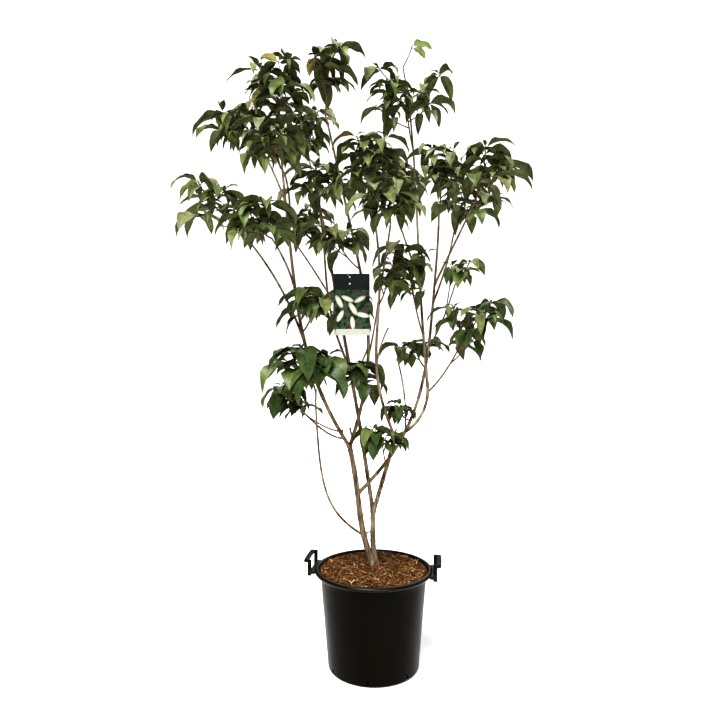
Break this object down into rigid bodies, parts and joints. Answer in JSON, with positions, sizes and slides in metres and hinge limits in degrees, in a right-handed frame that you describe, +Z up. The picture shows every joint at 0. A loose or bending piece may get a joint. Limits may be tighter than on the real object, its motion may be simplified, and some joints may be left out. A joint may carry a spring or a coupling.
{
  "type": "kousa dogwood in a nursery pot",
  "caption": "Multi-stem kousa dogwood with drooping leaves in sparse tiers, growing in a black two-handled nursery pot mulched with bark, with a hanging plant label.",
  "frame": {"origin": "centre of the pot's flat underside, on the floor", "axes": "+Z up along the plant, +X to the right of the plant seen from the front, -Y towards the viewer"},
  "size_m": [1.2505, 0.8991, 2.253],
  "materials": {
    "bark": "rough, finely fissured and flaking bark",
    "leaf": "soft satin",
    "pot_plastic": "moulded, semi-matte",
    "mulch": "loose, fibrous",
    "label_card": "printed, satin",
    "loop_plastic": "clear strap"
  },
  "bodies": {
    "root": {"pot": "pot_plastic", "mulch": "mulch", "handle_right": "pot_plastic", "handle_left": "pot_plastic", "stem_left": "bark", "stem_right": "bark", "bough_middle": "bark", "bough_right": "bark", "bough_crossing": "bark", "bough_right_upper": "bark", "leader": "bark", "bough_centre": "bark", "bough_left": "bark", "bough_centre_left": "bark", "bough_rear_left": "bark", "bough_far_left": "bark", "bough_front_left": "bark", "bough_rear_side": "bark", "shoot_low_left": "bark", "bough_right_rear": "bark", "bough_right_outer": "bark", "bough_upper_left": "bark", "bough_front_upper": "bark", "bough_front_centre": "bark", "bough_rear_centre": "bark", "leaves_far_left": "leaf", "leaves_left_front": "leaf", "leaves_left_rear": "leaf", "leaves_upper_left": "leaf", "leaves_top_left": "leaf", "leaves_top_centre": "leaf", "leaves_front_left": "leaf", "leaves_rear_left": "leaf", "leaves_left_centre": "leaf", "leaves_centre_left": "leaf", "leaves_centre_upper": "leaf", "leaves_front_centre": "leaf", "leaves_rear_centre": "leaf", "leaves_leader": "leaf", "leaves_leader_tip": "leaf", "leaves_right_inner": "leaf", "leaves_right_outer": "leaf", "leaves_right_rear": "leaf", "leaves_right_middle": "leaf", "leaves_right_low": "leaf", "leaves_right_side": "leaf", "leaves_left_low_upper": "leaf", "leaves_left_low": "leaf", "leaves_left_low_outer": "leaf", "leaves_middle_low": "leaf", "leaves_low_fruit": "leaf", "leaves_lowest": "leaf", "leaves_low_right": "leaf", "leaves_centre_lower": "leaf", "leaves_rear_low": "leaf", "label_card": "label_card", "label_loop": "loop_plastic"}
  },
  "joints": []
}
